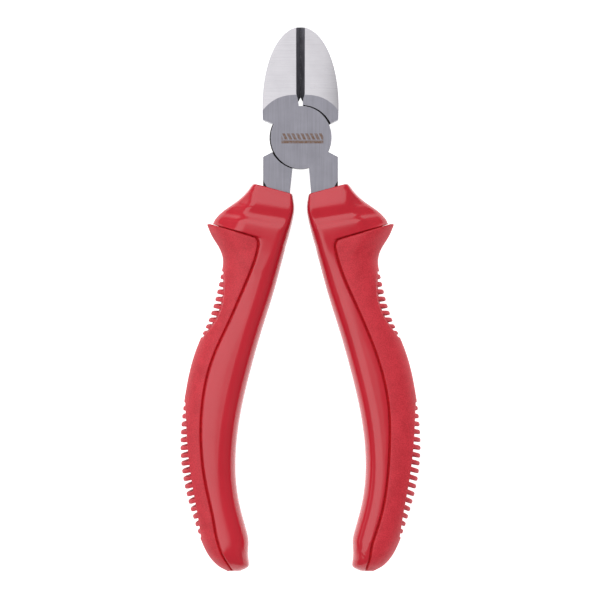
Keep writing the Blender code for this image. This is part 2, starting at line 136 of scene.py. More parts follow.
# Seam between the hard core and the soft pad: share of the section's width, front and back
FRONT_SEAM = ((30.7, 0.205), (35.0, 0.265), (39.95, 0.331), (44.65, 0.373), (56.45, 0.476),
              (68.25, 0.505), (80.05, 0.50), (91.75, 0.435), (100.65, 0.427), (109.45, 0.45),
              (118.25, 0.45), (127.45, 0.50))
BACK_SEAM = ((30.7, 0.29), (35.0, 0.375), (39.95, 0.468), (44.65, 0.52), (56.45, 0.62), (68.25, 0.68),
             (80.05, 0.68), (91.75, 0.622), (100.65, 0.594), (109.45, 0.605), (119.5, 0.68),
             (122.15, 0.662), (125.05, 0.64), (127.45, 0.64))
GUARD_DROP = 31.9               # middle of the groove across the thumb guard
SEAM_CORNER = 2.2               # radius where the seam turns from the guard down the handle
SEAM_GAP = 0.35                 # width of the groove between core and pad
SEAM_DEPTH = 0.7                # depth of the core's wall in it
SEAM_DEPTH_SHARE = 0.45         # of the half thickness, at most
SEAM_FLOOR = 0.35               # how far the groove's floor runs on under the pad
FLOOR_RIM = 0.2                 # least width between that floor and the outer rail
SEAM_FILLET = 0.55              # rounding of the groove's edges
EDGE_STEPS = 5                  # steps of such a rounded edge
LIP = 3                         # how many of them lie in the groove
TIP_LENGTH = 4.0                # down to this far below the guard's groove, that rounding
TIP_START, TIP_REACH = 0.6, 0.3     # shrinks outward, over this share of the width,
TIP_SHRINK = 0.8                # by this share
RIM = 0.3                       # least width between a seam and the outer rail
PAD_EDGE_DEPTH = 0.55           # depth of the pad's wall in the groove
PAD_DEPTH_SHARE = 0.4           # of the half thickness, at most
PAD_WALL_RUN = 0.45             # how far the wall's foot runs on under the pad
PAD_INNER_START = 0.6
PAD_LEAST = 0.6                 # least width of the pad's face
PAD_THICKNESS = 2.0             # of the pad over the core's spine
PAD_THICKNESS_SHARE = 0.6       # of the half thickness, at most
PAD_WEB = 4.4                   # thickness of the pad's outer edge, past the spine
SPINE_GAP = 0.3                 # between the spine and the pad
SPINE_START = 0.4
SPINE_LEAST = 0.9               # how far the spine reaches past the seam at least
SPINE_END_DROP = 120.0          # below here the spine draws back, over SPINE_TAPER
SPINE_TAPER = 4.0
TONGUE_INSET = 0.7              # the pad's tongue, on the floor of the groove across the guard
TONGUE_SIDE = 0.12              # its distance from the guard's outer edge,
TONGUE_CLEAR = 0.7              # and from the groove down the handle
TONGUE_WALL = 1.2               # depth that its wall gains for each millimetre of that
TONGUE_ROWS = 4                 # rows of faces at the pad's top with the groove's finish
NOSE_FILLET = 0.35              # rounding of the pad's tip at the guard
TOP_FILLET = 0.2 * SEAM_FILLET  # rounding of its outer edge there

# Ribs: slots in the pad's outer edge, and how the fins between them are rounded
RibGroup = namedtuple("RibGroup", "first_y pitch slots width depth bulge")
RIB_GROUPS = (RibGroup(-39.55, 2.06, 10, 0.85, 2.8, 0.7), RibGroup(-78.25, 2.28, 18, 1.0, 2.5, 0.15))
FIN_STEP = 0.5                  # fins start this far below the pad's face
FIN_ROUND = 0.42
FIN_PROUD = 0.02                # least height of a fin over the slot's floor
SLOT_EASE = 0.04                # how much a slot's walls slope
SLOT_LEAST = 0.3
SLOT_SHARE = 0.3                # of the section's width, at most
FULL_BULGE_DEPTH = 2.0          # from this depth on, a slot's floor bulges in full
SLOT_TILT = 0.06                # slant over the handle's thickness,
TILT_START, TILT_END = 38.0, 124.0      # between these drops, fading in and out over TILT_FADE
TILT_FADE = 4.0
SLOT_LEAN = 0.22                # lean of the fins down the handle
GROUP_SPLIT_Y = -65.0           # between the two groups of ribs

# Points in a ring: on the core's shown and hidden sides, and on the pad's face and outer edge
CORE_SHOWN = 26
HIDDEN = 26
PAD_FACE = 14
PAD_SIDE = 12

# Forging
JAW_HALF_WIDTH = 11.2
JAW_WIDEST_Y = 9.0
JAW_CURVE = 2.05
JAW_ROOT = (11.1, 5.2)
JAW_START_ANGLE = 89.6          # of the outline, just beside the tip
EDGE_GAP = 0.001                # from each cutting edge to the middle
EDGE_LAND = 0.03
BEVEL_HALF_WIDTH = 1.25
BEVEL_DEPTH = 1.6
FACE_SLOPE = 0.15
FACE_START_Y = 12.5
FACE_CROWN = 0.0005
FACE_REACH = 14.0               # half width of the cutter for the faces
RELIEF_HALF_WIDTH = 0.7
RELIEF_TOP_Y = 10.6
RELIEF_TIP_Y = 11.85
# Cutting bevels, up the jaws: y, half width
BEVEL_ROWS = ((RELIEF_TOP_Y + 0.1, 0.75), (11.4, 0.8), (12.1, 1.05), (12.9, 1.25), (34.0, 1.3))
DISC_RADIUS = 9.15
Oval = namedtuple("Oval", "across along shift")
FRONT_DISC = Oval(8.95, 9.22, 0.18)             # a little narrow, and set away from its own jaw
REAR_DISC = Oval(DISC_RADIUS, DISC_RADIUS, 0.0)
FRONT_RECESS = Oval(9.45, 9.45, 0.0)            # round the rear lever's disc
REAR_RECESS = Oval(9.60, 9.50, -0.18)           # round the front lever's disc
LAP_GAP = 0.05
RIVET_RADIUS = 3.0
RIVET_HEAD_RADIUS = 4.5
RIVET_HEAD_DEPTH = 1.6
RIVET_TOP_Z = 3.5
RIVET_CLEARANCE = 0.05
RIVET_HEAD_WALL = 0.4           # straight part of the head
RIVET_RIM = 0.12
RIVET_END_CHAMFER = 0.2
TURN_STEPS = 96
SHANK_INNER_TOP = (2.35, -8.75)
SHANK_INNER_LOW = (3.05, -15.45)
SHANK_OUTER_X = 11.0
SHANK_SHOULDER_Y = -5.7
SHANK_CHAMFER_Y = -12.7
SHANK_NECK = (9.95, -14.45)
SHANK_STEP_HALF = 3.2           # the chamfers stop this far from the middle plane
SHANK_END_Y = -17.0
TANG_STATIONS = (16.6, 19.0, 23.0, 28.0, 34.0, 42.0, 52.0, 64.0, 78.0, 92.0, 104.0)
TANG_INSET = ((16.6, 4.4), (28.0, 5.6), (52.0, 6.6), (104.0, 6.6))
TANG_WIDTH = ((16.6, 5.6), (104.0, 4.0))
TANG_HALF = 2.8
POCKET_GAP = 0.3
POCKET_TOP_Y = -10.0
POCKET_CLEARANCE = 0.2
EASED_WIDTH = 0.14              # bevel on every edge that bends more than EASED_ANGLE
EASED_ANGLE = math.radians(28.0)
CLEAR_OF_HEAD = 9.0             # height at which cutters end, past every face
CUTTER_PAST = 0.5
SMOOTH_ANGLE = 35.0             # sharper edges are shaded sharp on grips and rivet,
SHARP_STEEL_ANGLE = 30.0        # and on the forgings


# Curves -------------------------------------------------------------------------------------

def spline(places, values):
    """A function that reads a natural cubic spline through the given points."""
    x, y = np.array(places, dtype=float), np.array(values, dtype=float)
    step = np.diff(x)
    system, pull = np.eye(len(x)), np.zeros(len(x))
    for i in range(1, len(x) - 1):
        system[i, i - 1:i + 2] = step[i - 1], 2.0 * (step[i - 1] + step[i]), step[i]
        pull[i] = 6.0 * ((y[i + 1] - y[i]) / step[i] - (y[i] - y[i - 1]) / step[i - 1])
    bend = np.linalg.solve(system, pull)

    def read(at):
        at = min(max(at, x[0]), x[-1])
        i = min(int(np.searchsorted(x, at, side="right")) - 1, len(x) - 2)
        left, right = x[i + 1] - at, at - x[i]
        return float((bend[i] * left ** 3 + bend[i + 1] * right ** 3) / (6.0 * step[i])
                     + (y[i] / step[i] - bend[i] * step[i] / 6.0) * left
                     + (y[i + 1] / step[i] - bend[i + 1] * step[i] / 6.0) * right)
    return read


def eased(table, at):
    """Reads a table of (place, value) with soft steps that never overshoot its values."""
    places, values = zip(*table)
    at = min(max(at, places[0]), places[-1])
    i = min(int(np.searchsorted(places, at, side="right")) - 1, len(places) - 2)
    t = (at - places[i]) / (places[i + 1] - places[i])
    return values[i] + (values[i + 1] - values[i]) * t * t * (3.0 - 2.0 * t)


def unit(value):
    """The value, held between 0 and 1."""
    return min(max(value, 0.0), 1.0)


def edge_roll(distance, fullness):
    """Height of a rounded edge, 0 to 1, at a distance of 0 to 1 from its rim."""
    return (1.0 - (1.0 - unit(distance)) ** fullness) ** (1.0 / fullness)


def fillet(distance, radius):
    """How far a surface drops at a distance from a rounded edge."""
    if distance >= radius:
        return 0.0
    return radius - math.sqrt(radius ** 2 - (radius - max(distance, 0.0)) ** 2)


def towards_edge(radius, steps):
    """Distances from an edge that round it evenly: 0 first, then up to the radius."""
    return [radius * (1.0 - math.cos(a)) for a in np.linspace(0.0, math.pi / 2, steps + 1)]


def arc(radius, start, stop, steps):
    """Points round the rivet's axis between two angles in degrees."""
    return [(radius * math.cos(math.radians(a)), radius * math.sin(math.radians(a)))
            for a in np.linspace(start, stop, steps + 1)]


def oval_arc(oval, start, stop, steps):
    return [(oval.shift + oval.across * x, oval.along * y) for x, y in arc(1.0, start, stop, steps)]


class Rails:
    """The handle's inner and outer rails, read by drop."""

    def __init__(self, rows):
        drops = [row[0] for row in rows]
        self.inner_x, self.outer_x, self.outer_y = (
            spline(drops, [row[column] for row in rows]) for column in (1, 2, 3))


CORE_RAILS, PAD_RAILS = Rails(CORE_ROWS), Rails(PAD_ROWS)
front_seam = spline(*zip(*FRONT_SEAM))
back_seam = spline(*zip(*BACK_SEAM))


class Section:
    """A cross-section of the handle, from its inner rail (s = 0) to its outer rail (s = width).

    The trims take a length off its ends and its faces, where the handle's corners are rounded.
    """

    def __init__(self, drop, rails, trim_in=0.0, trim_out=0.0, trim_up=0.0):
        inner = np.array((rails.inner_x(drop), -drop))
        outer = np.array((rails.outer_x(drop), rails.outer_y(drop)))
        length = float(np.hypot(*(outer - inner)))
        self.drop = drop
        self.direction = (outer - inner) / length
        self.inner = inner + self.direction * trim_in
        self.width = length - trim_in - trim_out
        self.inner_fullness = eased(INNER_FULLNESS, drop)
        self.outer_fullness = eased(OUTER_FULLNESS, drop)
        to_end = (END_DROP - drop + 0.1) / END_ROUNDING
        rounded = edge_roll(to_end, self.inner_fullness)
        self.height = eased(HALF_THICKNESS, drop) * rounded - trim_up
        self.inner_roll = min(eased(INNER_ROLL, drop), MAX_INNER_ROLL * self.width)
        self.outer_roll = min(eased(OUTER_ROLL, drop), self.width - self.inner_roll - CREST)
        self.shoulder = eased(SHOULDER_WIDTH, drop)
        self.fall = eased(SHOULDER_FALL, drop)

    def z(self, s):
        """Half thickness at s."""
        inner = edge_roll(s / self.inner_roll, self.inner_fullness)
        outer = edge_roll((self.width - s) / self.outer_roll, self.outer_fullness)
        past = s - self.width + self.shoulder
        past = (past + math.hypot(past, SHOULDER_SOFT)) / 2
        return self.height * inner * outer * (1.0 - self.fall * min(past / self.shoulder, 1.0))

    def turn(self, s):
        """Where s lies: 0 to 1 on the inner roll, to 2 on the flat, to 3 on the outer roll."""
        if s < self.inner_roll:
            rest = max(1.0 - s / self.inner_roll, 0.0) ** (self.inner_fullness / 2)
            return math.acos(rest) * 2 / math.pi
        if s <= self.width - self.outer_roll:
            flat = self.width - self.inner_roll - self.outer_roll
            return 1.0 + (s - self.inner_roll) / flat
        rest = unit(1.0 - (self.width - s) / self.outer_roll)
        return 3.0 - math.acos(rest ** (self.outer_fullness / 2)) * 2 / math.pi

    def s(self, turn):
        """The s that lies at a turn."""
        if turn < 1.0:
            rest = max(math.cos(turn * math.pi / 2), 0.0) ** (2 / self.inner_fullness)
            return self.inner_roll * (1.0 - rest)
        if turn <= 2.0:
            flat = self.width - self.inner_roll - self.outer_roll
            return self.inner_roll + (turn - 1.0) * flat
        rest = max(math.cos((3.0 - turn) * math.pi / 2), 0.0) ** (2 / self.outer_fullness)
        return self.width - self.outer_roll * (1.0 - rest)

    def normal(self, s):
        """Outward direction (across, up) of the surface at s."""
        n = self.inner_fullness if s < self.inner_roll else self.outer_fullness
        z = max(self.z(s) / self.height, 1e-6)
        across = 0.0
        if s < self.inner_roll:
            across = -((self.inner_roll - s) / self.inner_roll) ** (n - 1) / self.inner_roll
        elif s > self.width - self.outer_roll:
            reach = (s - self.width + self.outer_roll) / self.outer_roll
            across = min(reach, 1.0) ** (n - 1) / self.outer_roll
        up = z ** (n - 1) / self.height
        length = math.hypot(across, up)
        return across / length, up / length

    def lowered(self, s, depth):
        """The point (s, z) that lies depth under the surface at s."""
        across, up = self.normal(s)
        return s - depth * across, max(self.z(s) - depth * up, 0.0)

    def at(self, s, z, slide=0.0):
        x, y = self.inner + self.direction * s
        return (float(x), float(y) + slide, float(z))


# Meshes -------------------------------------------------------------------------------------

def mesh_object(name, points, faces, rear=False, finishes=None):
    """An object from millimetre points round the rivet. rear turns it over to the rear lever, and
    finishes holds the material index of each face."""
    turn = -1.0 if rear else 1.0
    mesh = bpy.data.meshes.new(name)
    mesh.from_pydata([PIVOT + MM * Vector((turn * x, y, turn * z)) for x, y, z in points], [], faces)
    if finishes:
        mesh.polygons.foreach_set("material_index", finishes)
    shape = bmesh.new()
    shape.from_mesh(mesh)
    bmesh.ops.recalc_face_normals(shape, faces=shape.faces)
    if shape.calc_volume(signed=True) < 0.0:
        bmesh.ops.reverse_faces(shape, faces=shape.faces)
    shape.to_mesh(mesh)
    shape.free()
    piece = bpy.data.objects.new(name, mesh)
    bpy.context.scene.collection.objects.link(piece)
    return piece


def loft(name, rings, rear=False, grooved=None):
    """A closed solid through rings of equal numbers of points. grooved tells whether the face at
    a row and a column has the second finish."""
    count = len(rings[0])
    points = [point for ring in rings for point in ring]
    faces = [tuple(range(count)), tuple(range(len(points) - count, len(points)))]
    finishes = [0, 0]
    for row in range(len(rings) - 1):
        for i in range(count):
            j = (i + 1) % count
            low, high = row * count, (row + 1) * count
            faces.append((low + i, low + j, high + j, high + i))
            finishes.append(1 if grooved and grooved(row, i) else 0)
    return mesh_object(name, points, faces, rear, finishes)


def prism(name, outline, levels, rear=False):
    """A solid with the same plan at two levels."""
    return loft(name, [[(x, y, z) for x, y in outline] for z in levels], rear)


def turned(name, profile, rear=False):
    """A solid of revolution about the rivet's axis through (radius, z) points."""
    turns = [(arc(radius, 0.0, 360.0, TURN_STEPS)[:-1], z) for radius, z in profile]
    return loft(name, [[(x, y, z) for x, y in turn] for turn, z in turns], rear)


def combine(target, tools, operation):
    """Joins tools to the target, or cuts them from it, and drops them."""
    for tool in tools:
        modifier = target.modifiers.new(tool.name, "BOOLEAN")
        modifier.operation = operation
        modifier.solver = "EXACT"
        modifier.object = tool
    settle(target)
    for tool in tools:
        bpy.data.objects.remove(tool)
    return target


def settle(piece):
    """Applies the piece's modifiers."""
    bpy.context.view_layer.update()
    evaluated = piece.evaluated_get(bpy.context.evaluated_depsgraph_get())
    mesh = bpy.data.meshes.new_from_object(evaluated)
    piece.modifiers.clear()
    piece.data = mesh


def give(piece, finishes):
    """Puts finishes in a piece's material slots."""
    for finish in finishes:
        piece.data.materials.append(finish)


def smooth_shaded(piece):
    """Shades a piece smooth, but for its sharp edges."""
    piece.data.shade_smooth()
    piece.data.set_sharp_from_angle(angle=math.radians(SMOOTH_ANGLE))


# Handles ------------------------------------------------------------------------------------

def seam_places(section):
    """Where the front and back seams cross a section."""
    return front_seam(section.drop) * section.width, back_seam(section.drop) * section.width


def under_pad(section, seams, steps, gap):
    """Outline under the pad from the front seam round to the back one: the core's spine with
    the gap, or the pad's inner face without it."""
    reach = section.width - PAD_WEB
    taper = unit((section.drop - SPINE_END_DROP) / SPINE_TAPER)
    reach = max(reach + (max(seams) - reach) * taper, max(seams) + SPINE_LEAST)
    reach = min(reach, section.width - RIM)
    sides = []
    for seam, side in zip(seams, (1, -1)):
        row = []
        for s in np.linspace(seam, reach - gap, steps):
            z = section.z(s)
            depth = min(PAD_THICKNESS + gap, PAD_THICKNESS_SHARE * z + gap / 2)
            row.append(section.at(s, side * (z - depth)))
        sides.append(row)
    return sides[0] + [section.at(reach - gap, 0.0)] + sides[1][::-1]


def seam_fillet(section, s):
    """Radius of the seam's edges, smaller at the guard's outer end."""
    if section.drop > GUARD_DROP + TIP_LENGTH:
        return SEAM_FILLET
    outward = unit((s / section.width - TIP_START) / TIP_REACH)
    return SEAM_FILLET * (1.0 - TIP_SHRINK * outward)


def groove_wall(e, side):
    """How far past the seam line the groove's wall lies, at e below the guard's line.

    side is -1 for the core's wall and 1 for the pad's.
    """
    half = side * SEAM_GAP / 2
    if e >= SEAM_CORNER:
        return half
    spread = (SEAM_CORNER - half) ** 2 - (SEAM_CORNER - max(e, half)) ** 2
    return SEAM_CORNER - math.sqrt(max(spread, 0.0))


def seam_distance(e, f):
    """Distance from the seam line, positive on the pad's side. e is below the guard's line and
    f outward of the handle's line."""
    across, along = SEAM_CORNER - f, SEAM_CORNER - e
    if across > 0.0 and along > 0.0:
        return SEAM_CORNER - math.hypot(across, along)
    return min(e, f)


def core_section(drop, rails, trims, e):
    """One ring of the hard core. e is how far it lies below the seam across the guard."""
    section = Section(drop, rails, *trims)
    top = e < -SEAM_GAP / 2

    def face_point(s, seam, side):
        """The point on the core's face at s, lower where the groove's edge is rounded."""
        gap = -seam_distance(e, s - seam) - SEAM_GAP / 2
        low_s, low_z = section.lowered(s, fillet(gap, seam_fillet(section, s)))
        return section.at(low_s, side * low_z)

    shown, stops, seams = [], [], seam_places(section)
    for seam, side in zip(seams, (1, -1)):
        stop = min(seam + (SEAM_CORNER if top else groove_wall(e, -1)), section.width - RIM)
        near = [stop - d for d in towards_edge(SEAM_FILLET, EDGE_STEPS)]
        turns = np.linspace(section.turn(near[-1]), 0.0, CORE_SHOWN)[1:]
        shown.append([face_point(s, seam, side) for s in near + [section.s(t) for t in turns]])
        stops.append(stop)
    ring = shown[0] + shown[1][::-1][1:]
    if top:
        hidden = []
        for stop, seam, side in zip(stops, seams, (1, -1)):
            turns = np.linspace(section.turn(stop), 3.0, HIDDEN + 2)[1:]
            hidden.append([face_point(section.s(t), seam, side) for t in turns])
        return ring + hidden[1] + hidden[0][::-1][1:]
    floor = []
    for stop, side in zip(stops, (1, -1)):
        z = section.z(stop)
        low = z - min(SEAM_DEPTH, SEAM_DEPTH_SHARE * z)
        past = min(stop + SEAM_GAP + SEAM_FLOOR, section.width - FLOOR_RIM)
        floor.append([section.at(stop, side * low), section.at(past, side * low)])
    edges = [stop + SEAM_GAP + SPINE_START for stop in stops]
    spine = under_pad(section, edges, HIDDEN - 2, SPINE_GAP)
    return ring + floor[1] + spine[::-1] + floor[0][::-1]


def grip_core(name, rear, finishes):
    """The hard core: whole at the guard, and a side with a groove along the pad below it."""
    rings = []
    guard = GUARD_DROP - SEAM_GAP / 2
    mouth_trims = (MOUTH_FILLET, 2 * MOUTH_FILLET, MOUTH_FILLET)
    whole = [MOUTH_DROP + d for d in towards_edge(MOUTH_FILLET, 6)]
    whole += list(np.linspace(MOUTH_DROP + 0.9, guard - 0.8, 26))
    whole += [guard - d for d in towards_edge(SEAM_FILLET, EDGE_STEPS)][::-1]
    for drop in whole:
        trims = [fillet(drop - MOUTH_DROP, radius) for radius in mouth_trims]
        rings.append(core_section(drop, CORE_RAILS, trims, min(drop - GUARD_DROP, -SEAM_GAP / 2 - 1e-4)))
    grooved_drops = [guard + d for d in (0.01, 0.15, 0.4, 0.7, 1.1, 1.6, 2.1, 2.6, 3.1)]
    grooved_drops += [float(d) for d in np.arange(34.9, PLAIN_END_DROP, 1.0)]
    for drop in grooved_drops + END_STATIONS:
        rings.append(core_section(drop, PAD_RAILS, (), drop - GUARD_DROP))
    shown = 2 * (CORE_SHOWN + EDGE_STEPS) - 1
    count, last_whole = len(rings[0]), len(whole) - 1

    # Faces in and round the groove take the groove's darker red, painted shade.
    def grooved(row, column):
        if row <= last_whole:
            near_seam = column < EDGE_STEPS or column >= shown - 1 - EDGE_STEPS
            return row >= last_whole - LIP and near_seam
        return column < LIP or column >= count - 2 or shown - 1 - LIP <= column <= shown
    core = loft(name, rings, rear, grooved)
    give(core, finishes)
    low, high = SHANK_INNER_LOW[0] - POCKET_GAP, SHANK_OUTER_X + POCKET_CLEARANCE
    bottom = SHANK_END_Y - POCKET_GAP
    outline = [(low, POCKET_TOP_Y), (high, POCKET_TOP_Y), (high, bottom), (low, bottom)]
    pocket_half = HEAD_HALF + POCKET_CLEARANCE
    mouth = prism("mouth", outline, (-pocket_half, pocket_half), rear)
    combine(core, [mouth, loft("tang_pocket", tang_rings(POCKET_GAP), rear)], "DIFFERENCE")
    smooth_shaded(core)
    return core


def slot_places():
    """Every slot as (top y, bottom y, depth, bulge), down the handle."""
    for group in RIB_GROUPS:
        for index in range(group.slots):
            y = group.first_y - index * group.pitch
            depth = group.depth * math.sin(math.pi * (index + 0.5) / group.slots) ** 0.7
            yield y + group.width / 2, y - group.width / 2, depth, group.bulge


SLOTS = list(slot_places())


def slot_depth(y):
    """Depth of the ribs' slots at height y, read between their middles."""
    ys = [(top + low) / 2 for top, low, _, _ in SLOTS][::-1]
    return float(np.interp(y, ys, [slot[2] for slot in SLOTS][::-1]))


def slot_bulge(y):
    return RIB_GROUPS[0 if y > GROUP_SPLIT_Y else 1].bulge


def drop_of(y):
    """The drop whose section ends at height y on the outer rail."""
    drops = np.linspace(GUARD_DROP, END_DROP, 400)
    ys = [PAD_RAILS.outer_y(d) for d in drops]
    return float(np.interp(-y, [-v for v in ys], drops))


def pad_section(drop, kind, fin_drop=0.0):
    """One ring of the soft pad. kind is body, fin, slot or tongue, and fin_drop rounds a fin."""
    top = GUARD_DROP + SEAM_GAP / 2
    below = max(drop - top, 0.0)
    e = below + SEAM_GAP / 2
    nose = fillet(below, NOSE_FILLET)
    tongue = kind == "tongue"
    whole = Section(drop, PAD_RAILS, 0.0, nose)
    section = Section(drop, PAD_RAILS, 0.0, nose + TONGUE_SIDE, TONGUE_INSET) if tongue else whole
    y = PAD_RAILS.outer_y(drop)
    depth = max(min(slot_depth(y), section.width * SLOT_SHARE), SLOT_LEAST)
    corner = section.width - depth
    corner_z = section.z(corner)
    bulge = slot_bulge(y) * min(depth / FULL_BULGE_DEPTH, 1.0)
    tilt = SLOT_TILT * unit((drop - TILT_START) / TILT_FADE) * unit((TILT_END - drop) / TILT_FADE)
    clear = TONGUE_CLEAR if tongue else 0.0
    end_gap = 0.0 if tongue else fillet(e - SEAM_GAP / 2, TOP_FILLET)

    def slot_floor(z):
        """How far outward the slots' floor lies at height z."""
        return corner + bulge * (1.0 - min(z / corner_z, 1.0) ** 2)

    def edge_point(share):
        """The (s, z) point on the outer edge, from the slots' corner (0) to the middle plane (1)."""
        if kind == "slot":
            z = (corner_z - FIN_PROUD) * (1.0 - share)
            return slot_floor(z), z
        part = share if kind == "body" else (share * PAD_SIDE - 1) / (PAD_SIDE - 1)
        on = section.s(section.turn(corner) + part * (3.0 - section.turn(corner)))
        s, z = section.lowered(on, fin_drop + end_gap)
        if kind == "fin":
            z = max(z - FIN_STEP * (1.0 - part), 0.0)
            s = max(s, slot_floor(z) + FIN_PROUD)
        return s, z

    sides, starts = [], []
    for seam, side in zip(seam_places(section), (1, -1)):
        start = min(seam + groove_wall(e, 1) + clear, corner - PAD_LEAST)
        near = [start + d for d in towards_edge(SEAM_FILLET, EDGE_STEPS)]
        turns = np.linspace(section.turn(near[-1]), section.turn(corner), PAD_FACE)[1:]
        row = []
        for s in near + [section.s(t) for t in turns]:
            gap = seam_distance(e, s - seam) - SEAM_GAP / 2
            rounding = 0.0 if tongue else fillet(gap, seam_fillet(section, s))
            low_s, low_z = section.lowered(s, rounding)
            slide = tilt * low_z * side * unit((s - start) / (corner - start))
            row.append(section.at(low_s, side * low_z, slide))
        for i in range(1, PAD_SIDE + 1):
            s, z = edge_point(i / PAD_SIDE)
            row.append(section.at(s, side * z, tilt * z * side - SLOT_LEAN * max(s - corner, 0.0)))
        sides.append(row)
        starts.append(start)
    walls = []
    for start, side in zip(starts, (1, -1)):
        z = whole.z(start)
        low = z - min(PAD_EDGE_DEPTH + TONGUE_WALL * clear, PAD_DEPTH_SHARE * z)
        walls.append([whole.at(start, side * low), whole.at(start + PAD_WALL_RUN, side * low)])
    inner = under_pad(whole, [start + PAD_INNER_START for start in starts], 5, 0.0)
    return sides[1] + sides[0][::-1][1:] + walls[0] + inner + walls[1][::-1]


def pad_rings():
    """All rings of the pad, down the handle, with two for each side of every slot."""
    top = GUARD_DROP + SEAM_GAP / 2
    stations = [(GUARD_DROP - SEAM_GAP / 2 + 0.06, "tongue", 0.0), (top, "tongue", 0.0)]
    stations += [(top + d, "body", 0.0) for d in
                 (0.0, 0.02, 0.07, 0.15, 0.25, 0.4, 0.6, 0.85, 1.15, 1.5, 1.9, 2.3)]
    edges = [(drop_of(high), drop_of(low)) for high, low, _, _ in SLOTS]
    group_ends = {RIB_GROUPS[0].slots - 1, len(SLOTS) - 1}
    plain_from = top + 2.8
    for index, (start, stop) in enumerate(edges):
        first = index in (0, RIB_GROUPS[0].slots)
        if first:
            stations += [(float(d), "body", 0.0) for d in np.arange(plain_from, start - 0.5, 0.8)]
            stations += [(start - d, "body", fillet(d, FIN_ROUND) * 0.5)
                         for d in towards_edge(FIN_ROUND, 4)[::-1]]
        stations += [(start + SLOT_EASE, "slot", 0.0), (stop - SLOT_EASE, "slot", 0.0)]
        if index in group_ends:
            stations += [(stop + d, "body", fillet(d, FIN_ROUND) * 0.5)
                         for d in towards_edge(FIN_ROUND, 4)]
            plain_from = stop + 1.0
            continue
        after = edges[index + 1][0]
        rounding = towards_edge(min(FIN_ROUND, (after - stop) * 0.45), 4)
        stations += [(stop + d, "fin", fillet(d, FIN_ROUND)) for d in rounding]
        stations.append(((stop + after) / 2, "fin", 0.0))
        stations += [(after - d, "fin", fillet(d, FIN_ROUND)) for d in rounding[::-1]]
    stations += [(float(d), "body", 0.0) for d in np.arange(plain_from, PLAIN_END_DROP, 0.8)]
    stations += [(d, "body", 0.0) for d in END_STATIONS]
    return [pad_section(*station) for station in stations]


def grip_pad(name, rear, finishes):
    """The soft pad, with the ribs on its outer edge."""
    rings = pad_rings()
    shown = 2 * (PAD_FACE + EDGE_STEPS + PAD_SIDE) - 1

    # Faces in and round the groove take the groove's darker red, painted shade.
    def grooved(row, column):
        lips = column < LIP or column >= len(rings[0]) - 2 or shown - 1 - LIP <= column <= shown
        return row < TONGUE_ROWS or lips
    pad = loft(name, rings, rear, grooved)
    give(pad, finishes)
    smooth_shaded(pad)
    return pad


# Forgings -----------------------------------------------------------------------------------

def jaw_outline(steps):
    """The jaw's plan, from the tip of its cutting edge round to its root."""
    power = 2.0 / JAW_CURVE
    points = []
    for a in np.linspace(JAW_START_ANGLE, 180.0, steps + 1):
        x = -JAW_HALF_WIDTH * abs(math.cos(math.radians(a))) ** power
        y = JAW_WIDEST_Y + (TIP_Y - JAW_WIDEST_Y) * max(math.sin(math.radians(a)), 0.0) ** power
        points.append((min(x, -EDGE_GAP), y))
    points[0] = (-EDGE_GAP, TIP_Y)
    return points + [(-JAW_ROOT[0], JAW_ROOT[1])]


def forging_outline(disc):
    """Plan of a whole forging without its tang: jaw, disc and shank."""
    jaw_shoulder = math.degrees(math.atan2(JAW_ROOT[1], -JAW_ROOT[0]))
    shank_shoulder = math.degrees(math.atan2(SHANK_SHOULDER_Y, SHANK_OUTER_X))
    shank_inner = 360.0 + math.degrees(math.atan2(SHANK_INNER_TOP[1], SHANK_INNER_TOP[0]))
    relief = 90.0 + math.degrees(math.asin(RELIEF_HALF_WIDTH / DISC_RADIUS))
    outline = jaw_outline(steps=56)
    outline += oval_arc(disc, jaw_shoulder, shank_inner, steps=64)
    outline += [
        SHANK_INNER_LOW,
        (SHANK_INNER_LOW[0], SHANK_END_Y),
        (SHANK_OUTER_X, SHANK_END_Y),
        (SHANK_OUTER_X, SHANK_SHOULDER_Y),
    ]
    outline += oval_arc(disc, shank_shoulder, relief, steps=60)
    outline += [(-RELIEF_HALF_WIDTH, RELIEF_TOP_Y), (-EDGE_GAP, RELIEF_TIP_Y)]
    return outline


def chamfer_plan():
    """Plan of what is missing from the shank's outer corner, down to a step near the middle."""
    slope = (SHANK_CHAMFER_Y - SHANK_NECK[1]) / (SHANK_OUTER_X - SHANK_NECK[0])
    past = SHANK_OUTER_X + CUTTER_PAST
    bottom = SHANK_END_Y - CUTTER_PAST
    return [(past, SHANK_CHAMFER_Y + CUTTER_PAST * slope), SHANK_NECK,
            (SHANK_NECK[0], bottom), (past, bottom)]


def face_cutter(side):
    """What is missing above the jaw faces, which fall away to the tips and to the sides."""
    low_y, high_y = 0.0, TIP_Y + 4.0
    rings = []
    for x in np.linspace(-FACE_REACH, FACE_REACH, 71):
        level = HEAD_HALF - FACE_CROWN * abs(x) ** 3
        rings.append([
            (x, low_y, side * (level + (FACE_START_Y - low_y) * FACE_SLOPE)),
            (x, high_y, side * (level + (FACE_START_Y - high_y) * FACE_SLOPE)),
            (x, high_y, side * CLEAR_OF_HEAD),
            (x, low_y, side * CLEAR_OF_HEAD),
        ])
    return rings


def bevel_cutter(side):
    """What is missing above the front lever's cutting edge."""
    slope = BEVEL_DEPTH / BEVEL_HALF_WIDTH
    past = 0.6
    rings = []
    for y, width in BEVEL_ROWS:
        rings.append([
            (past, y, side * (EDGE_LAND - slope * (past + EDGE_GAP))),
            (-width, y, side * (EDGE_LAND + slope * (width - EDGE_GAP))),
            (-width, y, side * CLEAR_OF_HEAD),
            (past, y, side * CLEAR_OF_HEAD),
        ])
    return rings


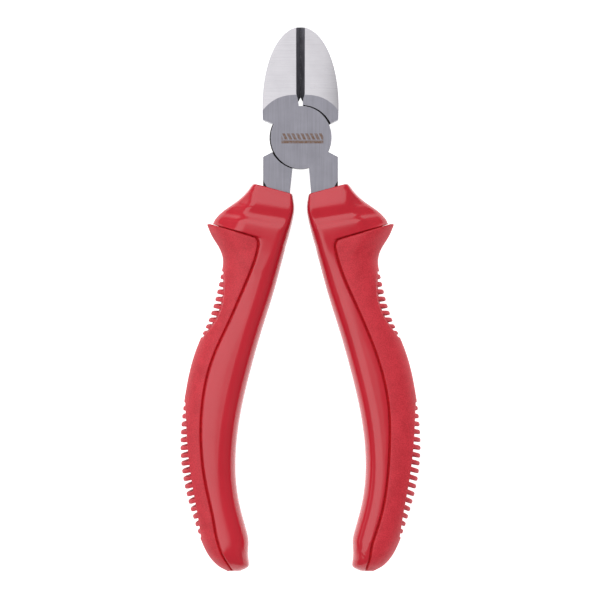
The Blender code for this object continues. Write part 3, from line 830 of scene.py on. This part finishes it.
def tang_rings(growth):
    """Cross-sections of the tang, or of the pocket that holds it when growth isn't 0."""
    rings = []
    for drop in TANG_STATIONS:
        longer = growth if drop == TANG_STATIONS[-1] else 0.0
        section = Section(drop + longer, CORE_RAILS if drop <= GUARD_DROP else PAD_RAILS)
        middle = eased(TANG_INSET, drop)
        half = eased(TANG_WIDTH, drop) / 2 + growth
        high = TANG_HALF + growth
        rings.append([section.at(middle + sx * half, sz * high)
                      for sx, sz in ((-1, -1), (1, -1), (1, 1), (-1, 1))])
    return rings


def forging(name, rear):
    """One lever's forging, with every edge eased but the cutting edge."""
    disc, recess = (REAR_DISC, REAR_RECESS) if rear else (FRONT_DISC, FRONT_RECESS)
    outline = forging_outline(disc)
    body = prism(name, outline, (-HEAD_HALF, HEAD_HALF), rear)
    wall = oval_arc(recess, 0.0, 360.0, steps=192)[:-1]
    tools = [prism("recess", wall, (-CLEAR_OF_HEAD, LAP_GAP), rear)]
    for side in (1, -1):
        levels = (side * SHANK_STEP_HALF, side * CLEAR_OF_HEAD)
        tools.append(prism("chamfer", chamfer_plan(), levels, rear))
        tools.append(loft("face", face_cutter(side), rear))
        tools.append(loft("bevel", bevel_cutter(side), rear))
    bore = RIVET_RADIUS + RIVET_CLEARANCE
    if rear:
        head = RIVET_HEAD_RADIUS + RIVET_CLEARANCE
        head_z = HEAD_HALF - RIVET_HEAD_DEPTH - RIVET_CLEARANCE
        wall_z = HEAD_HALF - RIVET_HEAD_WALL
        profile = ((bore, -1.0), (bore, head_z), (head, wall_z), (head, HEAD_HALF + 1.0))
    else:
        profile = ((bore, -1.0), (bore, RIVET_TOP_Z + RIVET_CLEARANCE))
    tools.append(turned("bore", profile, rear))
    combine(body, tools, "DIFFERENCE")
    combine(body, [loft("tang", tang_rings(0.0), rear)], "UNION")
    clean = bmesh.new()
    clean.from_mesh(body.data)
    bmesh.ops.remove_doubles(clean, verts=clean.verts, dist=0.01 * MM)
    bmesh.ops.dissolve_limit(clean, angle_limit=math.radians(0.2), verts=clean.verts, edges=clean.edges)
    weights = clean.edges.layers.float.new("bevel_weight_edge")
    for edge in clean.edges:
        middle = (edge.verts[0].co + edge.verts[1].co) / 2 - PIVOT
        cutting = abs(middle.x) < 0.1 * MM and middle.y > (RELIEF_TIP_Y + 0.1) * MM
        edge[weights] = float(edge.calc_face_angle(0.0) > EASED_ANGLE and not cutting)
    clean.to_mesh(body.data)
    clean.free()
    ease = body.modifiers.new("eased_edges", "BEVEL")
    ease.width = EASED_WIDTH * MM
    ease.segments = 2
    ease.limit_method = "WEIGHT"
    ease.use_clamp_overlap = True
    settle(body)
    return body


def rivet(name, finish):
    """The rivet: head flush with the back, its rim eased, end blind in the front forging."""
    profile = (
        (RIVET_HEAD_RADIUS - RIVET_RIM, -HEAD_HALF),
        (RIVET_HEAD_RADIUS - RIVET_RIM * 0.3, -HEAD_HALF + RIVET_RIM * 0.3),
        (RIVET_HEAD_RADIUS, -HEAD_HALF + RIVET_RIM),
        (RIVET_HEAD_RADIUS, -HEAD_HALF + RIVET_HEAD_WALL),
        (RIVET_RADIUS, -HEAD_HALF + RIVET_HEAD_DEPTH),
        (RIVET_RADIUS, RIVET_TOP_Z - RIVET_END_CHAMFER),
        (RIVET_RADIUS - RIVET_END_CHAMFER, RIVET_TOP_Z),
    )
    pin = turned(name, profile)
    give(pin, [finish])
    smooth_shaded(pin)
    return pin


# Materials ----------------------------------------------------------------------------------

def feed(tree, socket, value):
    """Links a socket to another one, or sets its value."""
    if isinstance(value, bpy.types.NodeSocket):
        tree.links.new(value, socket)
    else:
        socket.default_value = value


def add_node(tree, kind, inputs, **settings):
    """A new node with its settings, and its inputs as values or as other nodes' sockets."""
    node = tree.nodes.new(kind)
    for key, value in settings.items():
        setattr(node, key, value)
    for key, value in inputs.items():
        feed(tree, node.inputs[key], value)
    return node


class Nodes:
    """A material under construction, with short calls for the nodes it needs."""

    def __init__(self, name):
        self.material = bpy.data.materials.new(name)
        self.material.use_nodes = True
        self.tree = self.material.node_tree
        self.shader = self.tree.nodes["Principled BSDF"]
        self.place = self.add("ShaderNodeTexCoord", {}).outputs["Object"]

    def add(self, kind, inputs, **settings):
        return add_node(self.tree, kind, inputs, **settings)

    def noise(self, scale, stretch=(1.0, 1.0, 1.0), detail=3.0, roughness=0.55):
        """Noise whose grain is 1 / scale millimetres, drawn out by stretch."""
        mapping = self.add("ShaderNodeMapping", {
            "Vector": self.place, "Scale": [scale / MM / s for s in stretch]})
        return self.add("ShaderNodeTexNoise", {
            "Vector": mapping.outputs["Vector"], "Scale": 1.0, "Detail": detail,
            "Roughness": roughness}).outputs["Fac"]

    def math(self, operation, first, second=0.0):
        return self.add("ShaderNodeMath", {0: first, 1: second}, operation=operation).outputs[0]

    def blend(self, first, second, share):
        """A sum of two values, of which the second has the given share."""
        return self.math("ADD", self.math("MULTIPLY", first, 1.0 - share),
                         self.math("MULTIPLY", second, share))

    def ramp(self, value, low, high, out_low=0.0, out_high=1.0):
        return self.add("ShaderNodeMapRange", {
            "Value": value, "From Min": low, "From Max": high,
            "To Min": out_low, "To Max": out_high}).outputs["Result"]

    def mix(self, factor, first, second):
        return self.add("ShaderNodeMix", {"Factor": factor, "A": first, "B": second},
                        data_type="RGBA").outputs["Result"]

    def axes(self):
        return self.add("ShaderNodeSeparateXYZ", {0: self.place}).outputs

    def bump(self, height, strength, distance):
        node = self.add("ShaderNodeBump", {
            "Height": height, "Strength": strength, "Distance": distance * MM})
        feed(self.tree, self.shader.inputs["Normal"], node.outputs["Normal"])

    def set(self, **values):
        for key, value in values.items():
            socket = self.shader.inputs[key.replace("_", " ").title().replace("Ior", "IOR")]
            feed(self.tree, socket, value)


def rgb(red, green, blue):
    """A linear colour from 0-255 display values."""
    return tuple(((c / 255 + 0.055) / 1.055) ** 2.4 if c > 10 else c / 255 / 12.92
                 for c in (red, green, blue)) + (1.0,)


def brushed(name, dark, light, along, roughness, marked=False):
    """Ground steel with streaks along "x" or "y"."""
    m = Nodes(name)
    fine = (14.0, 0.16, 1.0) if along == "x" else (0.16, 14.0, 1.0)
    wide = (22.0, 0.6, 2.0) if along == "x" else (0.6, 22.0, 2.0)
    streaks = m.noise(1.0, fine, 2.0)
    bands = m.noise(1.0, wide, 3.0)
    clouds = m.noise(0.22, detail=2.0)
    grain = m.blend(streaks, bands, 0.4)
    tone = m.ramp(m.blend(grain, clouds, 0.25), 0.36, 0.64)
    colour = m.mix(tone, rgb(*dark), rgb(*light))
    rough = m.ramp(grain, 0.3, 0.7, roughness - 0.05, roughness + 0.07)
    if marked:
        colour, rough = etched(m, colour, rough)
    m.set(base_color=colour, roughness=rough, metallic=1.0)
    m.bump(grain, 0.25, 0.012)
    return m.material


# Etched mark, from the rivet's axis: its length, then each band's middle and half height
MARK_MIDDLE_X = 0.55
MARK_HALF_LENGTH = 6.15
HATCHES = (0.25, 0.92)
BAR = (-1.34, 0.42)
HATCH_PITCH = 1.35
HATCH_LEAN = 0.35
HATCH_SHARE = 0.62              # of the pitch
MARK_DEPTH = 0.3                # below the face, where the mark no longer shows


def etched(m, colour, rough):
    """A plain laser-etched bar with a band of short hatches over it, on the front disc only."""
    x, y, z = m.axes()
    from_middle = m.math("ABSOLUTE", m.math("SUBTRACT", x, MARK_MIDDLE_X * MM))
    inside_x = m.math("LESS_THAN", from_middle, MARK_HALF_LENGTH * MM)

    def band(middle, half):
        away = m.math("ABSOLUTE", m.math("SUBTRACT", y, PIVOT.y + middle * MM))
        return m.math("LESS_THAN", away, half * MM)
    lean = m.math("ADD", m.math("MULTIPLY", x, 1.0 / (HATCH_PITCH * MM)),
                  m.math("MULTIPLY", y, HATCH_LEAN / MM))
    hatch = m.math("LESS_THAN", m.math("FRACT", lean), HATCH_SHARE)
    rows = m.math("MAXIMUM", m.math("MULTIPLY", band(*HATCHES), hatch), band(*BAR))
    front = m.math("GREATER_THAN", z, PIVOT.z + (HEAD_HALF - MARK_DEPTH) * MM)
    mask = m.math("MULTIPLY", m.math("MULTIPLY", rows, inside_x), front)
    patchy = m.ramp(m.noise(1.6, detail=3.0), 0.3, 0.62, 0.45, 1.0)
    mask = m.math("MULTIPLY", mask, patchy)
    return (m.mix(mask, colour, rgb(122, 98, 84)),
            m.math("ADD", rough, m.math("MULTIPLY", mask, 0.15)))


def oxide(name):
    """Dark heat-treated steel left in the cutting bevels."""
    m = Nodes(name)
    mottle = m.ramp(m.noise(0.9, (1.0, 3.0, 1.0), 4.0), 0.35, 0.65)
    m.set(base_color=m.mix(mottle, rgb(84, 83, 89), rgb(104, 103, 110)), metallic=0.2)
    m.set(roughness=m.ramp(mottle, 0.0, 1.0, 0.50, 0.62))
    m.bump(m.noise(4.0, detail=3.0), 0.2, 0.01)
    return m.material


def shade_black_steel(name):
    """Near-black steel for the joint's walls, hidden or seen in its gaps, the shank chamfers and the
    rear shank's inner side: painted shade for the dark gaps there.
    """
    m = Nodes(name)
    black_mottle = m.ramp(m.noise(0.5, detail=3.0), 0.3, 0.7)
    # Near-black: painted shade for the gaps round the joint and the shadowed chamfers.
    m.set(base_color=m.mix(black_mottle, rgb(24, 22, 22), rgb(46, 42, 40)), metallic=0.4)
    m.set(roughness=m.ramp(black_mottle, 0.0, 1.0, 0.4, 0.6))
    return m.material


def sides_steel(name):
    """The forging's edges, finished coarser than its faces."""
    m = Nodes(name)
    streaks = m.noise(1.0, (0.5, 0.5, 7.0), 3.0)
    tone = m.ramp(streaks, 0.35, 0.65)
    m.set(base_color=m.mix(tone, rgb(150, 150, 156), rgb(186, 186, 192)), metallic=1.0)
    m.set(roughness=m.ramp(streaks, 0.3, 0.7, 0.36, 0.48))
    m.bump(streaks, 0.3, 0.015)
    return m.material


def hard_plastic(name):
    """Glossy moulded plastic with slight flow and a faint ripple."""
    m = Nodes(name)
    flow = m.noise(0.10, (1.0, 3.0, 1.0), 3.0)
    m.set(base_color=m.mix(m.ramp(flow, 0.35, 0.65), rgb(181, 26, 42), rgb(188, 30, 46)))
    fine = m.noise(0.7, detail=2.0)
    m.set(roughness=m.ramp(m.noise(0.35, detail=3.0), 0.3, 0.7, 0.15, 0.21), ior=1.5)
    m.bump(fine, 0.06, 0.02)
    return m.material


def soft_plastic(name):
    """Matt overmould with a fine spark-eroded grain."""
    m = Nodes(name)
    grain = m.noise(3.2, detail=2.0, roughness=0.6)
    cloud = m.noise(0.25, detail=3.0)
    tone = m.ramp(m.blend(grain, cloud, 0.3), 0.41, 0.59)
    m.set(base_color=m.mix(tone, rgb(174, 27, 41), rgb(198, 42, 56)))
    m.set(roughness=m.ramp(grain, 0.3, 0.7, 0.50, 0.62), ior=1.45)
    m.bump(grain, 0.8, 0.06)
    return m.material


def shaded_groove_plastic(name):
    """The seam's matt walls, painted a darker, deeper red than the core for the shade in the groove,
    mottled at random.
    """
    m = Nodes(name)
    groove_mottle = m.ramp(m.noise(1.2, detail=3.0), 0.35, 0.7)
    # Both reds are darker and deeper than the core's: painted shade for the groove.
    m.set(base_color=m.mix(groove_mottle, rgb(190, 12, 26), rgb(160, 14, 24)))
    m.set(roughness=m.ramp(groove_mottle, 0.0, 1.0, 0.7, 0.85), ior=1.3)
    m.bump(groove_mottle, 0.3, 0.03)
    return m.material


# Assembly -----------------------------------------------------------------------------------

FLAT, JAW_FACE, CUTTING_BEVEL, OUTER_EDGE, LAP = range(5)


def dress_forging(piece, rear, finishes):
    """Gives each face of a forging the finish of the surface that it belongs to.

    finishes: flats, jaw faces, cutting bevels, outer edges, lap surfaces (near-black, painted shade).
    """
    give(piece, finishes)
    for face in piece.data.polygons:
        centre = (Vector(face.center) - PIVOT) / MM
        x, z = (-centre.x, -centre.z) if rear else (centre.x, centre.z)
        steep = abs(face.normal.z) < 0.5
        radius = math.hypot(centre.x, centre.y)
        in_joint = radius < FRONT_RECESS.across + 0.2 and (steep or abs(z) < 1.0)
        on_chamfer = x > SHANK_NECK[0] - 0.1 and centre.y < SHANK_CHAMFER_Y
        between_shanks = x < SHANK_INNER_LOW[0] + 0.2 and centre.y < SHANK_INNER_TOP[1]
        if abs(face.normal.z) > 0.99 and abs(z) > HEAD_HALF - 0.01:
            face.material_index = FLAT
        elif centre.y > RELIEF_TOP_Y and -BEVEL_HALF_WIDTH < x:
            face.material_index = CUTTING_BEVEL
        elif abs(face.normal.z) > 0.9 and abs(z) > 1.0 and centre.y > 4.0 and radius > DISC_RADIUS:
            face.material_index = JAW_FACE
        # Joint walls, shank chamfers and the rear shank's inner side get the lap finish: near-black
        # painted shade.
        elif in_joint or on_chamfer or rear and between_shanks:
            face.material_index = LAP
        else:
            face.material_index = OUTER_EDGE
    shape = bmesh.new()
    shape.from_mesh(piece.data)
    for edge in shape.edges:
        met = {face.material_index for face in edge.link_faces}
        bent = edge.calc_face_angle(0.0) > math.radians(SHARP_STEEL_ANGLE)
        edge.smooth = not bent and not {FLAT, JAW_FACE} <= met
    for face in shape.faces:
        face.smooth = True
    shape.to_mesh(piece.data)
    shape.free()
    even = piece.modifiers.new("face_normals", "WEIGHTED_NORMAL")
    even.keep_sharp = True
    even.weight = 100
    settle(piece)


def assemble():
    """Builds every piece, gives it its finishes, hides the CAD part that it stands in for, and ties it
    to its lever's body.
    """
    flats_marked = brushed("ground_flats_marked", (126, 125, 133), (146, 145, 154), "y", 0.46, True)
    flats = brushed("ground_flats", (126, 125, 133), (146, 145, 154), "y", 0.46)
    faces = brushed("polished_jaw_faces", (150, 148, 152), (164, 162, 166), "x", 0.30)
    # lap: near-black steel, painted shade for the joint's gaps and the shadowed chamfers.
    dark, edges, lap = oxide("dark_oxide"), sides_steel("forged_edges"), shade_black_steel("lap_painted_shade")
    hard, soft = hard_plastic("glossy_red"), soft_plastic("matt_red")
    # groove: a darker red, painted shade for the seam's groove.
    groove = shaded_groove_plastic("groove_painted_shade")

    for name, rear in (("front", False), ("rear", True)):
        body = f"{name}_lever"
        side = "left" if rear else "right"
        steel = forging(f"{name}_lever_steel", rear)
        dress_forging(steel, rear, (flats if rear else flats_marked, faces, dark, edges, lap))
        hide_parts(f"{name}_forging")
        core = grip_core(f"{side}_handle_core", rear, (hard, groove))
        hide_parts(f"{side}_grip_core")
        pad = grip_pad(f"{side}_handle_pad", rear, (soft, groove))
        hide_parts(f"{side}_grip_pad")
        for piece in (steel, core, pad):
            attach(piece, body)
    pin = rivet("joint_rivet", flats)
    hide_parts("pivot_rivet")
    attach(pin, "front_lever")


# Stage --------------------------------------------------------------------------------------

FLOOR_HALF = 3.0
FLOOR_GAP = 0.0002              # under the pliers


def floor():
    """A pale, flat floor that glows, so that it stays white under the soft light."""
    mesh = bpy.data.meshes.new("floor")
    level = cad_bounds[0][2] - FLOOR_GAP
    mesh.from_pydata([(sx * FLOOR_HALF, sy * FLOOR_HALF, level)
                      for sx, sy in ((-1, -1), (1, -1), (1, 1), (-1, 1))], [], [(0, 1, 2, 3)])
    sheet = bpy.data.objects.new("floor", mesh)
    bpy.context.scene.collection.objects.link(sheet)
    m = Nodes("pale_floor")
    m.set(base_color=(0.6, 0.6, 0.6, 1.0), roughness=0.9)
    m.set(emission_color=(1.0, 1.0, 1.0, 1.0), emission_strength=0.95)
    mesh.materials.append(m.material)


def light(name, place, size, power):
    """A rectangular lamp aimed at the pliers."""
    lamp = bpy.data.lights.new(name, "AREA")
    lamp.shape = "RECTANGLE"
    lamp.size, lamp.size_y = size
    lamp.energy = power
    source = bpy.data.objects.new(name, lamp)
    source.location = place
    source.rotation_euler = (-Vector(place)).to_track_quat("-Z", "Y").to_euler()
    bpy.context.scene.collection.objects.link(source)
    return source


KEY_SIDE = (-0.72, 0.69, 0.05)  # direction of the key light's middle, nearly level
KEY_POWER = 1.95
ROOM_POWER = 0.32
KEY_LOW = (0.50, 0.60)          # the key light fades out between these heights
KEY_EDGE = (-0.03, 0.10)        # and across the zenith between these sideways places


def world():
    """A dim room with one very large softbox, from overhead down to the left."""
    made = bpy.data.worlds.new("studio")
    bpy.context.scene.world = made
    made.use_nodes = True
    tree = made.node_tree

    def soft_step(value, low, high):
        return add_node(tree, "ShaderNodeMapRange", {"Value": value, "From Min": low, "From Max": high},
                        interpolation_type="SMOOTHSTEP").outputs["Result"]

    direction = add_node(tree, "ShaderNodeTexCoord", {}).outputs["Generated"]
    side = add_node(tree, "ShaderNodeVectorMath", {0: direction, 1: KEY_SIDE}, operation="DOT_PRODUCT")
    height = add_node(tree, "ShaderNodeSeparateXYZ", {0: direction}).outputs["Z"]
    lit = add_node(tree, "ShaderNodeMath", {0: soft_step(side.outputs["Value"], *KEY_EDGE),
                                            1: soft_step(height, *KEY_LOW)}, operation="MULTIPLY")
    power = add_node(tree, "ShaderNodeMath", {0: lit.outputs[0], 1: KEY_POWER, 2: ROOM_POWER},
                     operation="MULTIPLY_ADD")
    background = tree.nodes["Background"]
    feed(tree, background.inputs["Strength"], power.outputs[0])
    background.inputs["Color"].default_value = (1.0, 1.0, 1.0, 1.0)


VIEW_WIDTH = 0.17664            # width of the view at the pliers' middle plane
VIEW_MIDDLE = (-0.00015, -0.00027)
LENS = 300.0
SENSOR = 36.0


def camera():
    """Straight down on the pliers, the jaws up."""
    lens = bpy.data.cameras.new("camera")
    lens.lens, lens.sensor_width = LENS, SENSOR
    eye = bpy.data.objects.new("camera", lens)
    eye.location = (*VIEW_MIDDLE, PIVOT.z + VIEW_WIDTH * LENS / SENSOR)
    bpy.context.scene.collection.objects.link(eye)
    bpy.context.scene.camera = eye


bpy.context.scene.view_settings.view_transform = "Standard"
floor()
world()
light("rim_left", place=(-0.9, 0.2, 0.12), size=(0.6, 0.15), power=0.3)
fill = light("fill_right", place=(0.9, -0.4, 0.8), size=(0.8, 0.8), power=2.6)
fill.visible_glossy = False
camera()
assemble()
